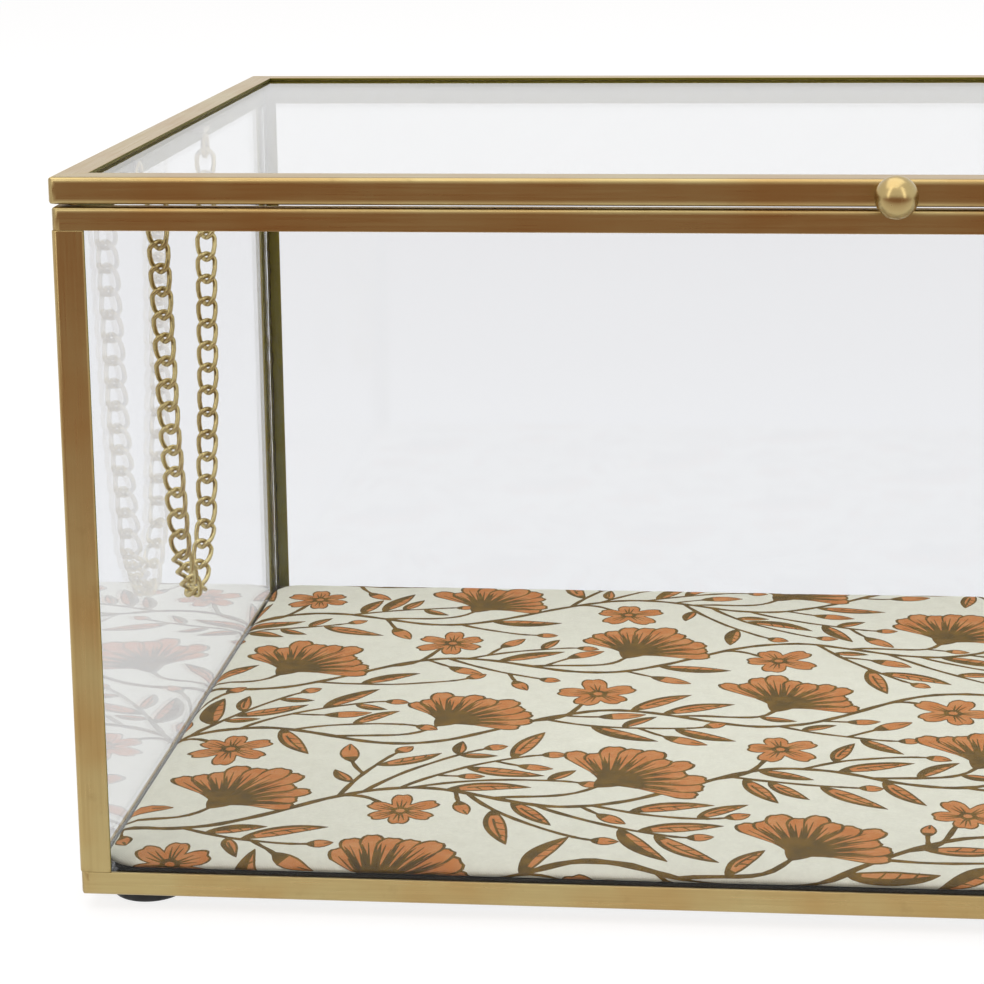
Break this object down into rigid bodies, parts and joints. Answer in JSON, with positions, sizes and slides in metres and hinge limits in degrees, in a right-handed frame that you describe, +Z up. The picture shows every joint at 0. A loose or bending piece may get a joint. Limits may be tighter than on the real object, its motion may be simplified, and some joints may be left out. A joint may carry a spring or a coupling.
{
  "type": "glass casket box",
  "caption": "Clear glass casket box in an antique brass frame, with a hinged glass lid, ball knob, stay chain and padded fabric base.",
  "frame": {"origin": "on the ground under the middle of the part's bounding box", "axes": "+X to the right across the width, +Y to the back where the hinges are, +Z up; the knob faces -Y"},
  "size_m": [0.26, 0.171, 0.1216],
  "materials": {
    "clear_glass": "polished",
    "clear_glue": "gloss",
    "antique_brass": "satin antique",
    "chain_brass": "satin antique",
    "rubber_foot": "matte",
    "printed_cloth": "printed weave",
    "card": "matte"
  },
  "bodies": {
    "case": {"base_glass": "clear_glass", "pad_card": "card", "fabric_pad": "printed_cloth", "corner_sealant": "clear_glue", "chain_eye_case": "chain_brass", "bottom_rail_front": "antique_brass", "bottom_rail_back": "antique_brass", "bottom_rail_left": "antique_brass", "bottom_rail_right": "antique_brass", "rim_rail_front": "antique_brass", "rim_rail_back": "antique_brass", "rim_rail_left": "antique_brass", "rim_rail_right": "antique_brass", "wall_glass_front": "clear_glass", "wall_glass_back": "clear_glass", "wall_glass_left": "clear_glass", "wall_glass_right": "clear_glass", "corner_post_front_left": "antique_brass", "corner_post_front_right": "antique_brass", "corner_post_back_left": "antique_brass", "corner_post_back_right": "antique_brass", "foot_front_left": "rubber_foot", "foot_front_right": "rubber_foot", "foot_back_left": "rubber_foot", "foot_back_right": "rubber_foot", "hinge_leaf_case_left": "antique_brass", "hinge_leaf_case_right": "antique_brass", "hinge_pin_left": "antique_brass", "hinge_pin_right": "antique_brass"},
    "lid": {"lid_glass": "clear_glass", "knob": "antique_brass", "chain_eye_lid": "chain_brass", "lid_rail_front": "antique_brass", "lid_rail_back": "antique_brass", "lid_rail_left": "antique_brass", "lid_rail_right": "antique_brass", "hinge_leaf_lid_left": "antique_brass", "hinge_leaf_lid_right": "antique_brass"},
    "chain_rear_top": {"chain_rear_top": "chain_brass"},
    "chain_rear_middle": {"chain_rear_middle": "chain_brass"},
    "chain_rear_low": {"chain_rear_low": "chain_brass"},
    "chain_turn": {"chain_turn": "chain_brass"},
    "chain_front_low": {"chain_front_low": "chain_brass"},
    "chain_front_middle": {"chain_front_middle": "chain_brass"},
    "chain_front_top": {"chain_front_top": "chain_brass"}
  },
  "joints": [
    {"name": "lid_hinge", "type": "hinge", "parent": "case", "child": "lid", "pos_m": [0, 0.084, 0.116], "axis": [-1, 0, 0], "range_deg": [0, 106.5]},
    {"name": "chain_rear_top_hook", "type": "hinge", "parent": "lid", "child": "chain_rear_top", "pos_m": [-0.1226, 0.0017, 0.1128], "axis": [-1, 0, 0], "range_deg": [-52.5, 0.3]},
    {"name": "chain_rear_middle_hook", "type": "hinge", "parent": "chain_rear_top", "child": "chain_rear_middle", "pos_m": [-0.1226, -0.00234, 0.07017], "axis": [-1, 0, 0], "range_deg": [-7.3, 0.3]},
    {"name": "chain_rear_low_hook", "type": "hinge", "parent": "chain_rear_middle", "child": "chain_rear_low", "pos_m": [-0.1226, -0.00771, 0.04585], "axis": [-1, 0, 0], "range_deg": [-29.3, 0.3]},
    {"name": "chain_turn_hook", "type": "hinge", "parent": "chain_rear_low", "child": "chain_turn", "pos_m": [-0.1226, -0.01595, 0.03652], "axis": [-1, 0, 0], "range_deg": [-48.8, 0.3]},
    {"name": "chain_front_low_hook", "type": "hinge", "parent": "chain_turn", "child": "chain_front_low", "pos_m": [-0.1226, -0.0201, 0.03652], "axis": [-1, 0, 0], "range_deg": [-48.8, 0.3]},
    {"name": "chain_front_middle_hook", "type": "hinge", "parent": "chain_front_low", "child": "chain_front_middle", "pos_m": [-0.1226, -0.02834, 0.04585], "axis": [-1, 0, 0], "range_deg": [-29.3, 0.3]},
    {"name": "chain_front_top_hook", "type": "hinge", "parent": "chain_front_middle", "child": "chain_front_top", "pos_m": [-0.1226, -0.03371, 0.07017], "axis": [-1, 0, 0], "range_deg": [-7.3, 0.3]}
  ],
  "couplings": [
    {"joint": "chain_rear_top_hook", "follows": "lid_hinge", "ratio": -0.49019},
    {"joint": "chain_rear_middle_hook", "follows": "lid_hinge", "ratio": -0.0662},
    {"joint": "chain_rear_low_hook", "follows": "lid_hinge", "ratio": -0.27245},
    {"joint": "chain_turn_hook", "follows": "lid_hinge", "ratio": -0.45591},
    {"joint": "chain_front_low_hook", "follows": "lid_hinge", "ratio": -0.45591},
    {"joint": "chain_front_middle_hook", "follows": "lid_hinge", "ratio": -0.27245},
    {"joint": "chain_front_top_hook", "follows": "lid_hinge", "ratio": -0.0662}
  ]
}
